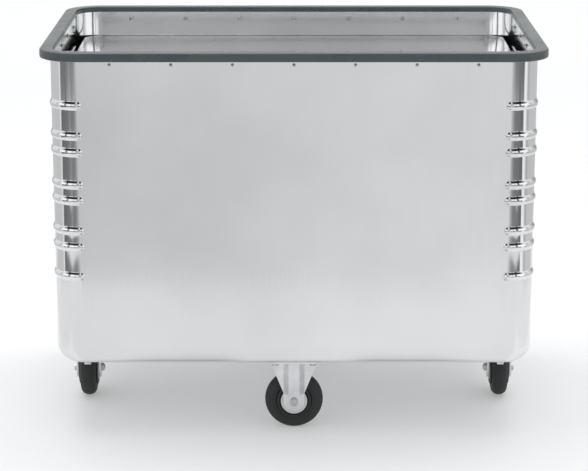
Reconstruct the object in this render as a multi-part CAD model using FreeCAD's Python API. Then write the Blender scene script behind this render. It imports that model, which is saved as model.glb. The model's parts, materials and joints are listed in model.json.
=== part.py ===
"""Spring-base box trolley: beaded aluminium box, plastic bumper rim, sprung platform and four castors.

Units are millimetres.  +X runs along the long side, -Y is the front, +Z is up, and the floor is z = 0.
"""
import FreeCAD
import Part
import math
import os

V = FreeCAD.Vector
X_AXIS = V(1, 0, 0)
Y_AXIS = V(0, 1, 0)
Z_AXIS = V(0, 0, 1)

# ---- driving dimensions: box --------------------------------------------------------------
BOX_X = 1015.0              # box outside, along the long side
BOX_Y = 650.0               # box outside, along the short side
WALL = 2.0                  # aluminium sheet
CORNER_R = 52.0             # vertical corners, outside
BOX_BOTTOM = 160.0
WALL_TOP = 826.0
END_BOTTOM_R = 30.0         # radius between each end wall and the floor
SIDE_BOTTOM_R = 8.0         # radius between each long wall and the floor
PANEL_SEAM_X = 440.0        # butt-welded seam between a long wall and an end wall
CUT = 2000.0                # size of a cutting block

# ---- beads pressed into the end walls and round the corners -------------------------------
BEAD_Z = (350.0, 414.0, 449.0, 514.0, 548.0, 617.0, 652.0, 716.0)
BEAD_WIDTH = 18.0
BEAD_HEIGHT = 3.5
BEAD_END_X = 450.0
BEAD_R = (BEAD_WIDTH ** 2 / 4 + BEAD_HEIGHT ** 2) / (2 * BEAD_HEIGHT)
BEAD_SINK = BEAD_R - BEAD_HEIGHT

# ---- bumper rim and its rivets ------------------------------------------------------------
RIM_TOP = 830.0
RIM_OVERHANG = 22.5
OUTER_LIP = 19.0
INNER_LIP = 12.0
INNER_LIP_T = 2.5
RIM_EDGE_R = 3.0
RETAINER_T = 1.0
RETAINER_BOTTOM = 795.0
RIVET_Z = 802.0
RIVET_R = 2.4
RIVET_IN_HEAD_R = 5.2
RIVET_OUT_HEAD_R = 3.4
RIVET_HEAD_T = 1.6
RIVETS_LONG = 7
RIVETS_SHORT = 4
BORE_LENGTH = 20.0          # long enough to pass through every layer that a rivet joins

# ---- sprung platform ----------------------------------------------------------------------
DECK_X = 975.0
DECK_Y = 642.0
DECK_TOP = 763.0
DECK_T = 2.5
DECK_SKIRT = 30.0
DECK_CORNER_R = 40.0
TRAVEL = 350.0
STIFFENER_Y = 150.0
STIFFENER_W = 40.0
STIFFENER_H = 25.0
STIFFENER_T = 2.5
POST_BOTTOM = 520.0
CARRIER_BOTTOM = 545.0
CARRIER_H = 30.0
CARRIER_T = 12.0
CARRIER_X = 470.0
CARRIER_HALF_Y = 250.0
POST_Y = 150.0
POST_W = 30.0
SPRING_Y = (-220.0, -100.0, 100.0, 220.0)
SPRING_X = 497.0
SPRING_R = 6.5
SPRING_BORE_R = 4.5
COIL_BOTTOM = 572.0
COIL_TOP = 730.0
COIL_END_T = 3.0            # closed end of a coil, round the stem of its hook
HOOK_R = 1.1
HOOK_GAP = 0.4
PEG_R = 2.5
KNOB_R = 4.0
KNOB_T = 2.0
HANGER_PEG_Z = 738.0
HANGER_LOW = 728.0
HANGER_HIGH = 750.0
HANGER_Y = (21.0, 240.0)
HANGER_T = 2.0
SHOE_HALF_Y = 17.4
SHOE_H = 18.0
SHOE_OUT_X = 502.4
BUFFER_X = 462.0
BUFFER_R = 14.0
BUFFER_H = 7.5
FIT_GAP = 0.3               # clearance between parts that meet at the end of the travel

# ---- guide rails on the end walls ---------------------------------------------------------
RAIL_HALF_Y = 20.0
RAIL_T = 2.0
RAIL_IN_X = 491.0
RAIL_BOTTOM = 195.0
RAIL_TOP = 758.0
STOP_H = 5.5

# ---- castors ------------------------------------------------------------------------------
WHEEL_R = 62.5
WHEEL_W = 35.0
TREAD_EDGE_R = 58.5
TREAD_STEPS = 8
RIM_R = 38.0
RIM_W = 42.0
RIM_FLANGE = 7.0
RIM_DISH = 10.0
RIM_EDGE = 1.0
WEB_HALF_T = 5.0
HUB_R = 15.0
HUB_FLARE = 2.0
BUSH_R = 9.0
BUSH_BORE_R = 5.06
CAP_R = 28.5
CAP_T = 1.6
AXLE_R = 5.0
AXLE_HOLE_R = 5.1
AXLE_HEX = 16.0
AXLE_HEAD_T = 6.4
AXLE_TAIL = 2.0
LEG_IN = 23.6               # wheel centre to a fork leg's inner face
LEG_T = 3.5
LEG_END_R = 22.8
PLATE_T = 3.5
PLATE_TOP = 157.0
PLATE_CORNER_R = 8.0
SEAT_T = 3.0                # mounting plate between castor and floor pan
FIXED_SEAT = (125.0, 98.0)
SWIVEL_SEAT = (90.0, 125.0)
SWIVEL_SEAT_SHIFT = -2.0
FIXED_Y = 265.0
FIXED_PLATE = (105.0, 92.0)
FIXED_HOLES = (80.0, 74.0)
FORK_TOP_HALF = 52.0
FORK_WAIST_Z = 83.0
RIB_BASE = 45.0
RIB_CREST = 23.5
RIB_H = 4.0
SWIVEL_X = 463.0
SWIVEL_PLATE = (85.0, 105.0)
SWIVEL_HOLES = (60.0, 80.0)
TRAIL = 40.0
KINGPIN_R = 8.0
KINGPIN_HOLE_R = 8.06
KINGPIN_HEAD_R = 13.0
KINGPIN_HEAD_T = 4.0
CROWN_TOP = 139.5
CROWN_T = 4.0
CROWN_R = 35.0
CROWN_LENGTH = 94.0
CROWN_SHIFT = -13.0
CROWN_CORNER_R = 6.0
SWIVEL_LEG_TOP = (-58.0, 32.0)
RACE_R = 34.0
RACE_GAP_Z = 146.4
RACE_STEP = 3.0
BOLT_R = 4.0
BOLT_HOLE_R = 4.5
BOLT_HEX = 13.0
BOLT_HEAD_T = 5.3
NUT_T = 6.5
BOLT_TAIL = 2.0

# ---- wheel brake --------------------------------------------------------------------------
PEDAL_Y = -104.0            # pedal pivot, from the kingpin
PEDAL_Z = 121.0
PEDAL_PIN_R = 3.0
PEDAL_PIN_HEAD = 1.5
PEDAL_BORE_R = 3.06
PEDAL_BOSS_R = 7.0
PEDAL_HALF_W = 20.0
PEDAL_T = 3.5
PEDAL_REACH = 52.0
PEDAL_RISE = 6.0
PEDAL_DROP = 14.0
PEDAL_BACK = 8.0            # full-width part of the pedal behind its pin
PEDAL_FRONT = 14.0          # full-width part of the pedal in front of its pin
PEDAL_TIP_R = 7.5
PEDAL_TIP_INSET = 4.0
PEDAL_TIP_SHIFT = -7.0      # the tip points a little towards the middle of the trolley
PEDAL_SWING = 15.0          # degrees, from released to locked
SHOE_GAP = 0.4              # left between the brake arm and the tread when locked
SHOE_HALF_W = 12.0
SHOE_HALF_T = 4.0
CHEEK_T = 3.0
CHEEK_IN = 20.6
CHEEK_ROOT_Y = -50.0
CHEEK_ROOT_H = 12.0


def slab(size_x, size_y, z0, z1, corner_r=0.0, x=0.0, y=0.0):
    """Upright block centred on x, y, with rounded vertical corners."""
    block = Part.makeBox(size_x, size_y, z1 - z0, V(x - size_x / 2, y - size_y / 2, z0))
    if corner_r <= 0:
        return block
    upright = [e for e in block.Edges if abs(e.Vertexes[0].Z - e.Vertexes[1].Z) > 1e-6]
    return block.makeFillet(corner_r, upright)


def span(x0, x1, y0, y1, z0, z1):
    """Block between two corners."""
    return Part.makeBox(x1 - x0, y1 - y0, z1 - z0, V(x0, y0, z0))


def rod(radius, length, start, axis=Z_AXIS):
    return Part.makeCylinder(radius, length, start, axis)


def tube(outer_r, inner_r, length, start, axis=Z_AXIS):
    return rod(outer_r, length, start, axis).cut(rod(inner_r, length, start, axis))


def hexagon(across_flats, height, start, axis=Z_AXIS):
    """Hexagonal bolt head or nut, chamfered on its far end."""
    corner = across_flats / math.sqrt(3)
    points = [V(corner * math.cos(math.radians(60 * i)), corner * math.sin(math.radians(60 * i)), 0)
              for i in range(7)]
    prism = Part.Face(Part.makePolygon(points)).extrude(V(0, 0, height))
    cone = Part.makeCone(corner + height, across_flats / 2, height + corner - across_flats / 2 + 0.01)
    prism = prism.common(cone.translate(V(0, 0, across_flats / 2 - corner)))
    prism.Placement = FreeCAD.Placement(start, FreeCAD.Rotation(Z_AXIS, axis))
    return prism


def revolve(points, centre, axis):
    """Ring turned from an (offset along axis, radius) outline."""
    face = Part.Face(Part.makePolygon([V(r, 0, a) for a, r in points + points[:1]]))
    ring = face.revolve(V(0, 0, 0), Z_AXIS, 360)
    ring.Placement = FreeCAD.Placement(centre, FreeCAD.Rotation(Z_AXIS, axis))
    return ring


def union(shapes):
    return shapes[0].multiFuse(shapes[1:]).removeSplitter() if len(shapes) > 1 else shapes[0]


def export(node, *shapes):
    """Write one node; several shapes stay separate solids."""
    solids = [s for shape in shapes for s in shape.Solids]
    shape = solids[0] if len(solids) == 1 else Part.makeCompound(solids)
    assert solids and all(s.isValid() for s in solids), node
    shape.exportStep(f"parts/{node}.step")


def mirror_x(shape):
    return shape.mirror(V(0, 0, 0), X_AXIS)


# ---- box ----------------------------------------------------------------------------------
def tub_solid(inset):
    """Box body without its hollow: plan corners, end radii and long-edge radii."""
    half_x = BOX_X / 2 - inset
    half_y = BOX_Y / 2 - inset
    bottom = BOX_BOTTOM + inset
    body = slab(2 * half_x, 2 * half_y, bottom, WALL_TOP, CORNER_R - inset)
    sides = ((half_x, END_BOTTOM_R - inset, False), (half_y, SIDE_BOTTOM_R - inset, True))
    for half, radius, turned in sides:
        side = Part.makeBox(2 * half, CUT, CUT, V(-half, -CUT / 2, bottom))
        low = [e for e in side.Edges
               if abs(e.BoundBox.ZMax - bottom) < 1e-6 and e.BoundBox.YLength > CUT / 2]
        side = side.makeFillet(radius, low)
        if turned:
            side.rotate(V(0, 0, 0), Z_AXIS, 90)
        body = body.common(side)
    return body


def bead_core(z, radius):
    """Round bar that presses one bead into the +X end wall and round its two corners."""
    x_flat = BOX_X / 2 - CORNER_R
    y_flat = BOX_Y / 2 - CORNER_R
    x_out = BOX_X / 2 - BEAD_SINK
    y_out = BOX_Y / 2 - BEAD_SINK
    arc = (CORNER_R - BEAD_SINK) * math.sqrt(0.5)
    path = Part.Wire([
        Part.LineSegment(V(BEAD_END_X, -y_out, z), V(x_flat, -y_out, z)).toShape(),
        Part.Arc(V(x_flat, -y_out, z), V(x_flat + arc, -y_flat - arc, z), V(x_out, -y_flat, z)).toShape(),
        Part.LineSegment(V(x_out, -y_flat, z), V(x_out, y_flat, z)).toShape(),
        Part.Arc(V(x_out, y_flat, z), V(x_flat + arc, y_flat + arc, z), V(x_flat, y_out, z)).toShape(),
        Part.LineSegment(V(x_flat, y_out, z), V(BEAD_END_X, y_out, z)).toShape()])
    ring = Part.Wire([Part.makeCircle(radius, V(BEAD_END_X, -y_out, z), X_AXIS)])
    pipe = path.makePipeShell([ring], True, True)
    ends = [Part.makeSphere(radius, V(BEAD_END_X, side * y_out, z)) for side in (-1, 1)]
    return pipe.multiFuse(ends)


def end_panel(shell, inner, floor_block):
    """+X end wall with its two rounded corners and its beads."""
    half = span(PANEL_SEAM_X, CUT, -CUT, CUT, 0, CUT)
    panel = shell.common(half).cut(floor_block)
    ridges = [bead_core(z, BEAD_R).cut(inner) for z in BEAD_Z]
    grooves = [bead_core(z, BEAD_R - WALL) for z in BEAD_Z]
    return panel.multiFuse(ridges).cut(Part.makeCompound(grooves)).common(half)


def rivet_places():
    """Wall point and outward direction of every rim rivet."""
    pitch_x = BOX_X / (RIVETS_LONG + 1)
    pitch_y = BOX_Y / (RIVETS_SHORT + 1)
    long_side = [(i - (RIVETS_LONG - 1) / 2) * pitch_x for i in range(RIVETS_LONG)]
    short_side = [(i - (RIVETS_SHORT - 1) / 2) * pitch_y for i in range(RIVETS_SHORT)]
    places = [(V(x, s * BOX_Y / 2, RIVET_Z), V(0, s, 0)) for s in (-1, 1) for x in long_side]
    places += [(V(s * BOX_X / 2, y, RIVET_Z), V(s, 0, 0)) for s in (-1, 1) for y in short_side]
    return places


def rivet(place, outward):
    """Rivet through the wall and the retainer, with a small head outside and a wide one inside."""
    grip = WALL + RETAINER_T
    shank = rod(RIVET_R, grip, place - outward * grip, outward)
    outer = Part.makeCone(RIVET_OUT_HEAD_R, RIVET_R, RIVET_HEAD_T, place, outward)
    inner = Part.makeCone(RIVET_IN_HEAD_R, RIVET_R, RIVET_HEAD_T, place - outward * grip, outward * -1)
    return union([shank, outer, inner])


def rivet_bores():
    bores = [rod(RIVET_R, BORE_LENGTH, p - n * (BORE_LENGTH / 2), n) for p, n in rivet_places()]
    return Part.makeCompound(bores)


def bolt_places():
    """Castor bolt centres, and whether each one ends in a nut inside the box."""
    places = []
    for side in (-1, 1):
        for i in (-1, 1):
            for j in (-1, 1):
                places.append((i * FIXED_HOLES[0] / 2, side * FIXED_Y + j * FIXED_HOLES[1] / 2, True))
                x = side * (SWIVEL_X + i * SWIVEL_HOLES[0] / 2)
                places.append((x, j * SWIVEL_HOLES[1] / 2, i < 0))
    return places


def bolt_holes(z0, z1):
    return Part.makeCompound([rod(BOLT_HOLE_R, z1 - z0, V(x, y, z0)) for x, y, _ in bolt_places()])


def make_box():
    outer = tub_solid(0)
    inner = tub_solid(WALL).fuse(slab(BOX_X - 2 * CORNER_R, BOX_Y - 2 * CORNER_R, WALL_TOP - 1, CUT))
    inner = inner.fuse(slab(BOX_X - 2 * WALL, BOX_Y - 2 * WALL, WALL_TOP - 1, WALL_TOP + 1, CORNER_R - WALL))
    shell = outer.cut(inner).cut(rivet_bores())
    flat_x = BOX_X / 2 - END_BOTTOM_R
    flat_y = BOX_Y / 2 - SIDE_BOTTOM_R
    floor_block = span(-flat_x, flat_x, -flat_y, flat_y, 0, BOX_BOTTOM + 10)
    export("floor_pan", shell.common(floor_block).cut(bolt_holes(0, CUT)))
    for name, y0, y1 in (("front_panel", -CUT, -flat_y), ("back_panel", flat_y, CUT)):
        export(name, shell.common(span(-PANEL_SEAM_X, PANEL_SEAM_X, y0, y1, 0, CUT)))
    right = end_panel(shell, inner, floor_block)
    export("right_end_panel", right)
    export("left_end_panel", mirror_x(right))
    return outer


def rim_ring(out, out_r, into, into_r, z0, z1):
    """Ring round the box between two offsets from the wall's outside face."""
    ring = slab(BOX_X + 2 * out, BOX_Y + 2 * out, z0, z1, out_r)
    return ring.cut(slab(BOX_X + 2 * into, BOX_Y + 2 * into, z0 - 1, z1 + 1, into_r))


def make_rim():
    lip = WALL + INNER_LIP_T
    body = rim_ring(RIM_OVERHANG, CORNER_R + RIM_OVERHANG, 0, CORNER_R, RIM_TOP - OUTER_LIP, RIM_TOP)
    top = rim_ring(0.5, CORNER_R, -lip, CORNER_R - lip, WALL_TOP, RIM_TOP)
    inside = rim_ring(-WALL, CORNER_R - WALL, -lip, CORNER_R - lip, RIM_TOP - INNER_LIP, RIM_TOP)
    bumper = union([body, top, inside])
    out_x = BOX_X / 2 + RIM_OVERHANG
    edges = [e for e in bumper.Edges
             if max(abs(e.BoundBox.XMin), abs(e.BoundBox.XMax)) > out_x - 1
             or max(abs(e.BoundBox.YMin), abs(e.BoundBox.YMax)) > BOX_Y / 2 + RIM_OVERHANG - 1]
    export("bumper_rim", bumper.makeFillet(RIM_EDGE_R, edges))
    retainer = rim_ring(-WALL, CORNER_R - WALL, -WALL - RETAINER_T, CORNER_R - WALL - RETAINER_T,
                        RETAINER_BOTTOM, RIM_TOP - INNER_LIP)
    export("bumper_retainer", retainer.cut(rivet_bores()))
    export("rim_rivets", *[rivet(p, n) for p, n in rivet_places()])


# ---- parts on the end walls ---------------------------------------------------------------
def guide_rail():
    """U-channel on the +X end wall, open towards the platform."""
    wall_x = BOX_X / 2 - WALL
    rail = span(RAIL_IN_X, wall_x, -RAIL_HALF_Y, RAIL_HALF_Y, RAIL_BOTTOM, RAIL_TOP)
    inside = RAIL_HALF_Y - RAIL_T
    return rail.cut(span(0, wall_x - RAIL_T, -inside, inside, 0, CUT))


def spring_hanger():
    """Strips on the +X end wall, one each side of the rail, with a peg for each spring."""
    wall_x = BOX_X / 2 - WALL
    knob_x = SPRING_X - HOOK_R - HOOK_GAP - KNOB_T
    strips = []
    for side in (-1, 1):
        y0, y1 = sorted(side * y for y in HANGER_Y)
        parts = [span(wall_x - HANGER_T, wall_x, y0, y1, HANGER_LOW, HANGER_HIGH)]
        for y in SPRING_Y:
            if y * side > 0:
                parts.append(rod(PEG_R, wall_x - HANGER_T / 2 - knob_x, V(knob_x, y, HANGER_PEG_Z), X_AXIS))
                parts.append(rod(KNOB_R, KNOB_T, V(knob_x, y, HANGER_PEG_Z), X_AXIS))
        strips.append(union(parts))
    return strips


def spring_peg_z():
    """Height of the carrier peg that a spring's lower loop goes round."""
    return CARRIER_BOTTOM + CARRIER_H / 2


def hook(y, peg_z, coil_z):
    """Closed loop round a peg, with a stem that runs into the end of the coil at coil_z."""
    ring_r = PEG_R + HOOK_R + HOOK_GAP
    way = 1 if coil_z > peg_z else -1
    z0, z1 = sorted((peg_z + way * ring_r, coil_z + way * COIL_END_T / 2))
    ring = Part.makeTorus(ring_r, HOOK_R, V(SPRING_X, y, peg_z), X_AXIS)
    return union([ring, rod(HOOK_R, z1 - z0, V(SPRING_X, y, z0))])


def spring(y):
    """Tension spring between its peg on the hanger and its peg on the carrier, as a closed tube."""
    coil = tube(SPRING_R, SPRING_BORE_R, COIL_TOP - COIL_BOTTOM, V(SPRING_X, y, COIL_BOTTOM))
    ends = [rod(SPRING_R, COIL_END_T, V(SPRING_X, y, z)) for z in (COIL_BOTTOM, COIL_TOP - COIL_END_T)]
    hooks = [hook(y, HANGER_PEG_Z, COIL_TOP), hook(y, spring_peg_z(), COIL_BOTTOM)]
    return union([coil] + ends + hooks)


def make_end_fittings():
    rail = guide_rail()
    inside = RAIL_HALF_Y - RAIL_T
    rail_out_x = BOX_X / 2 - WALL - RAIL_T
    stop = span(RAIL_IN_X + RAIL_T / 2, rail_out_x, -inside, inside, RAIL_TOP - STOP_H, RAIL_TOP)
    springs = [spring(y) for y in SPRING_Y]
    hanger = spring_hanger()
    for name, place in (("right", lambda s: s), ("left", mirror_x)):
        export(f"{name}_guide_rail", place(rail))
        export(f"{name}_spring_hanger", *[place(s) for s in hanger])
        export(f"{name}_springs", *[place(s) for s in springs])
    export("top_stops", stop, mirror_x(stop))
    spots = [(i * BUFFER_X, j * POST_Y) for i in (-1, 1) for j in (-1, 1)]
    export("floor_buffers", *[rod(BUFFER_R, BUFFER_H, V(x, y, BOX_BOTTOM + WALL)) for x, y in spots])


# ---- platform -----------------------------------------------------------------------------
def make_platform():
    deck = slab(DECK_X, DECK_Y, DECK_TOP - DECK_SKIRT, DECK_TOP, DECK_CORNER_R)
    top_edges = [e for e in deck.Edges if e.BoundBox.ZMin > DECK_TOP - 0.1]
    deck = deck.makeFillet(DECK_T, top_edges)
    hollow = slab(DECK_X - 2 * DECK_T, DECK_Y - 2 * DECK_T, 0, DECK_TOP - DECK_T, DECK_CORNER_R - DECK_T)
    export("platform_deck", deck.cut(hollow))
    export("deck_stiffeners", *[stiffener(y) for y in (-STIFFENER_Y, STIFFENER_Y)])
    right = carrier()
    export("right_carrier", right)
    export("left_carrier", mirror_x(right))
    upper = guide_shoe(DECK_X / 2, RAIL_TOP - STOP_H - FIT_GAP - SHOE_H)
    lower = guide_shoe(CARRIER_X + CARRIER_T / 2, CARRIER_BOTTOM + (CARRIER_H - SHOE_H) / 2)
    export("guide_shoes", upper, lower, mirror_x(upper), mirror_x(lower))


def stiffener(y):
    """Box section below the deck."""
    top = DECK_TOP - DECK_T
    low = top - STIFFENER_H
    length = 2 * (CARRIER_X - CARRIER_T)
    beam = slab(length, STIFFENER_W, low, top, 0, 0, y)
    inside_w = STIFFENER_W - 2 * STIFFENER_T
    return beam.cut(slab(length, inside_w, low + STIFFENER_T, top - STIFFENER_T, 0, 0, y))


def guide_shoe(x, low):
    """Slider that runs in the +X rail; x is the face that it is fixed to."""
    return span(x, SHOE_OUT_X, -SHOE_HALF_Y, SHOE_HALF_Y, low, low + SHOE_H)


def carrier():
    """Two posts and a cross bar that hang below the +X end of the deck, with a peg for each spring."""
    x0 = CARRIER_X - CARRIER_T / 2
    x1 = x0 + CARRIER_T
    bar_top = CARRIER_BOTTOM + CARRIER_H
    parts = [span(x0, x1, -CARRIER_HALF_Y, CARRIER_HALF_Y, CARRIER_BOTTOM, bar_top)]
    for y in (-POST_Y, POST_Y):
        parts.append(span(x0, x1, y - POST_W / 2, y + POST_W / 2, POST_BOTTOM, DECK_TOP - DECK_T))
    knob_x = SPRING_X + HOOK_R + HOOK_GAP
    for y in SPRING_Y:
        parts.append(rod(PEG_R, knob_x - CARRIER_X, V(CARRIER_X, y, spring_peg_z()), X_AXIS))
        parts.append(rod(KNOB_R, KNOB_T, V(knob_x, y, spring_peg_z()), X_AXIS))
    return union(parts)


# ---- castors ------------------------------------------------------------------------------
def wheel(centre, axis):
    """Tyre, rim and flanged bush of one wheel."""
    half = WHEEL_W / 2
    crown = []
    for i in range(TREAD_STEPS + 1):
        a = -half + WHEEL_W * i / TREAD_STEPS
        crown.append((a, WHEEL_R - (WHEEL_R - TREAD_EDGE_R) * (a / half) ** 2))
    tyre = revolve(crown + [(half, RIM_R), (-half, RIM_R)], centre, axis)
    rim_half = RIM_W / 2
    side = [(rim_half - RIM_EDGE, RIM_R), (rim_half, RIM_R - RIM_EDGE), (rim_half, RIM_R - RIM_FLANGE),
            (WEB_HALF_T, RIM_R - RIM_DISH), (WEB_HALF_T, HUB_R + HUB_FLARE), (rim_half, HUB_R),
            (rim_half, BUSH_R)]
    rim = revolve(side + [(-a, r) for a, r in reversed(side)], centre, axis)
    sleeve = tube(BUSH_R, BUSH_BORE_R, RIM_W, centre - axis * rim_half, axis)
    caps = [tube(CAP_R, BUSH_BORE_R, CAP_T, centre + axis * a, axis) for a in (rim_half, -rim_half - CAP_T)]
    return tyre, rim, union([sleeve] + caps)


def axle(centre, axis):
    """Axle bolt with its head and nut outside the fork legs."""
    face = LEG_IN + LEG_T
    shank = rod(AXLE_R, 2 * face, centre - axis * face, axis)
    tail_length = AXLE_HEAD_T + AXLE_TAIL
    tail = rod(AXLE_R, tail_length, centre - axis * (face + tail_length), axis)
    head = hexagon(AXLE_HEX, AXLE_HEAD_T, centre + axis * face, axis)
    nut = hexagon(AXLE_HEX, AXLE_HEAD_T, centre - axis * face, axis * -1)
    return union([shank, tail, head, nut])


def leg(top_low, top_high, axle_at, top, offset):
    """Fork leg: a tapered sheet from the crown, at height top, to a round end at the axle.

    top_low and top_high bound its top along X, axle_at is the axle's X, and offset is its inner face's Y.
    """
    points = [V(top_low, 0, top), V(top_high, 0, top), V(axle_at + LEG_END_R, 0, FORK_WAIST_Z),
              V(axle_at + LEG_END_R, 0, WHEEL_R), V(axle_at - LEG_END_R, 0, WHEEL_R),
              V(axle_at - LEG_END_R, 0, FORK_WAIST_Z)]
    sheet = Part.Face(Part.makePolygon(points + points[:1])).extrude(V(0, LEG_T, 0))
    end = rod(LEG_END_R, LEG_T, V(axle_at, 0, WHEEL_R), Y_AXIS)
    blade = sheet.fuse(end).cut(rod(AXLE_HOLE_R, CUT, V(axle_at, -CUT / 2, WHEEL_R), Y_AXIS))
    return blade.translate(V(0, offset, 0))


def leg_rib():
    """Raised channel down the middle of a fixed fork's leg, on the leg's outer face."""
    z0 = FORK_WAIST_Z - LEG_T
    z1 = PLATE_TOP - PLATE_T
    points = [V(-RIB_BASE / 2, 0, z0), V(-RIB_CREST / 2, RIB_H, z0), V(RIB_CREST / 2, RIB_H, z0),
              V(RIB_BASE / 2, 0, z0)]
    return Part.Face(Part.makePolygon(points + points[:1])).extrude(V(0, 0, z1 - z0))


def fixed_fork(side):
    """Fixed castor bracket, wheel axle along Y; side is -1 at the front and 1 at the back."""
    plate = slab(FIXED_PLATE[0], FIXED_PLATE[1], PLATE_TOP - PLATE_T, PLATE_TOP, PLATE_CORNER_R)
    top = PLATE_TOP - PLATE_T / 2
    legs = [leg(-FORK_TOP_HALF, FORK_TOP_HALF, 0, top, offset) for offset in (LEG_IN, -LEG_IN - LEG_T)]
    ribs = [leg_rib().translate(V(0, LEG_IN + LEG_T, 0))]
    ribs.append(ribs[0].mirror(V(0, 0, 0), Y_AXIS))
    fork = union([plate] + legs + ribs).translate(V(0, side * FIXED_Y, 0))
    return fork.cut(bolt_holes(0, CUT))


def seat(outer_box, x, y, size):
    """Mounting plate between a castor and the underside of the box."""
    block = slab(size[0], size[1], PLATE_TOP, BOX_BOTTOM + END_BOTTOM_R / 2, 0, x, y)
    return block.cut(outer_box).cut(bolt_holes(0, CUT))


def swivel_plate():
    """Top plate of the +X swivel castor with its upper raceway."""
    z0 = PLATE_TOP - PLATE_T
    plate = slab(SWIVEL_PLATE[0], SWIVEL_PLATE[1], z0, PLATE_TOP, PLATE_CORNER_R, SWIVEL_X, 0)
    race_z = RACE_GAP_Z + FIT_GAP
    race = Part.makeCone(RACE_R, RACE_R + RACE_STEP, z0 - race_z, V(SWIVEL_X, 0, race_z))
    body = plate.fuse(race).cut(rod(KINGPIN_R, CUT, V(SWIVEL_X, 0, 0)))
    return body.cut(bolt_holes(0, CUT))


def kingpin():
    low = CROWN_TOP - CROWN_T - FIT_GAP
    shank = rod(KINGPIN_R, PLATE_TOP - low, V(SWIVEL_X, 0, low))
    return shank.fuse(rod(KINGPIN_HEAD_R, KINGPIN_HEAD_T, V(SWIVEL_X, 0, low - KINGPIN_HEAD_T)))


def swivel_fork():
    """Fork of the +X swivel castor, trailing towards -Y, with the cheeks that carry the pedal pin."""
    z0 = CROWN_TOP - CROWN_T
    crown = slab(2 * (LEG_IN + LEG_T), CROWN_LENGTH, z0, CROWN_TOP, CROWN_CORNER_R, 0, CROWN_SHIFT)
    crown = crown.fuse(rod(CROWN_R, CROWN_T, V(0, 0, z0)))
    legs = []
    for offset in (LEG_IN, -LEG_IN - LEG_T):
        blade = leg(*SWIVEL_LEG_TOP, -TRAIL, CROWN_TOP - CROWN_T / 4, offset)
        blade.rotate(V(0, 0, 0), Z_AXIS, 90)
        legs.append(blade)
    cheeks = []
    for x in (CHEEK_IN, -CHEEK_IN - CHEEK_T):
        points = [V(x, CHEEK_ROOT_Y, CROWN_TOP), V(x, PEDAL_Y, PEDAL_Z + PEDAL_BOSS_R),
                  V(x, PEDAL_Y, PEDAL_Z - PEDAL_BOSS_R), V(x, CHEEK_ROOT_Y, CROWN_TOP - CHEEK_ROOT_H)]
        sheet = Part.Face(Part.makePolygon(points + points[:1])).extrude(V(CHEEK_T, 0, 0))
        cheeks.append(sheet.fuse(rod(PEDAL_BOSS_R, CHEEK_T, V(x, PEDAL_Y, PEDAL_Z), X_AXIS)))
    fork = union([crown] + legs + cheeks).cut(rod(KINGPIN_HOLE_R, CUT, V(0, 0, 0)))
    fork = fork.cut(rod(PEDAL_PIN_R, CUT, V(-CUT / 2, PEDAL_Y, PEDAL_Z), X_AXIS))
    return fork.translate(V(SWIVEL_X, 0, 0))


def ball_race():
    """Lower raceway and ball cage between the fork crown and the top plate."""
    height = RACE_GAP_Z - CROWN_TOP
    ring = Part.makeCone(RACE_R - RACE_STEP, RACE_R, height, V(SWIVEL_X, 0, CROWN_TOP))
    return ring.cut(rod(KINGPIN_HOLE_R, CUT, V(SWIVEL_X, 0, 0)))


def brake_arm(pin):
    """Arm below the pedal pin; it points at the wheel centre, nearly on the tread, when the pedal is down."""
    run = -TRAIL - pin.y
    drop = pin.z - WHEEL_R
    length = math.hypot(run, drop) - WHEEL_R - SHOE_GAP
    arm = span(-SHOE_HALF_W, SHOE_HALF_W, 0, length, -SHOE_HALF_T, SHOE_HALF_T)
    arm.rotate(V(0, 0, 0), X_AXIS, -math.degrees(math.atan2(drop, run)) - PEDAL_SWING)
    return arm.translate(pin)


def pedal_strip():
    """Side outline of the pedal's curved plate, drawn across its full width."""
    side = [V(-PEDAL_HALF_W, PEDAL_Y, PEDAL_Z + PEDAL_PIN_R),
            V(-PEDAL_HALF_W, PEDAL_Y - PEDAL_REACH / 2, PEDAL_Z + PEDAL_RISE),
            V(-PEDAL_HALF_W, PEDAL_Y - PEDAL_REACH, PEDAL_Z - PEDAL_DROP)]
    below = [p + V(0, PEDAL_T / 2, -PEDAL_T) for p in reversed(side)]
    edges = [Part.Arc(*side).toShape(), Part.makeLine(side[2], below[0]), Part.Arc(*below).toShape(),
             Part.makeLine(below[2], side[0])]
    return Part.Face(Part.Wire(edges)).extrude(V(2 * PEDAL_HALF_W, 0, 0))


def pedal_plan():
    """Plan of the pedal, as a tall block: full width at the pin and a round tip."""
    tip = V(PEDAL_TIP_SHIFT, PEDAL_Y - PEDAL_REACH + PEDAL_TIP_INSET, 0)
    wide = [V(PEDAL_HALF_W, PEDAL_Y + PEDAL_BACK, 0), V(PEDAL_HALF_W, PEDAL_Y - PEDAL_FRONT, 0)]
    outline = wide + [tip + X_AXIS * PEDAL_TIP_R, tip - X_AXIS * PEDAL_TIP_R]
    outline += [V(-p.x, p.y, 0) for p in reversed(wide)]
    plan = Part.Face(Part.makePolygon(outline + outline[:1])).extrude(V(0, 0, BOX_BOTTOM))
    return plan.fuse(rod(PEDAL_TIP_R, BOX_BOTTOM, tip))


def brake_pedal():
    """Foot pedal: a boss on the pin, a tapered plate that curves down, and the arm that stops the tyre."""
    pin = V(0, PEDAL_Y, PEDAL_Z)
    boss = rod(2 * PEDAL_PIN_R, 2 * PEDAL_HALF_W, pin - X_AXIS * PEDAL_HALF_W, X_AXIS)
    pedal = union([boss, pedal_strip().common(pedal_plan()), brake_arm(pin)])
    return pedal.cut(rod(PEDAL_BORE_R, CUT, pin - X_AXIS * (CUT / 2), X_AXIS)).translate(V(SWIVEL_X, 0, 0))


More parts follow.
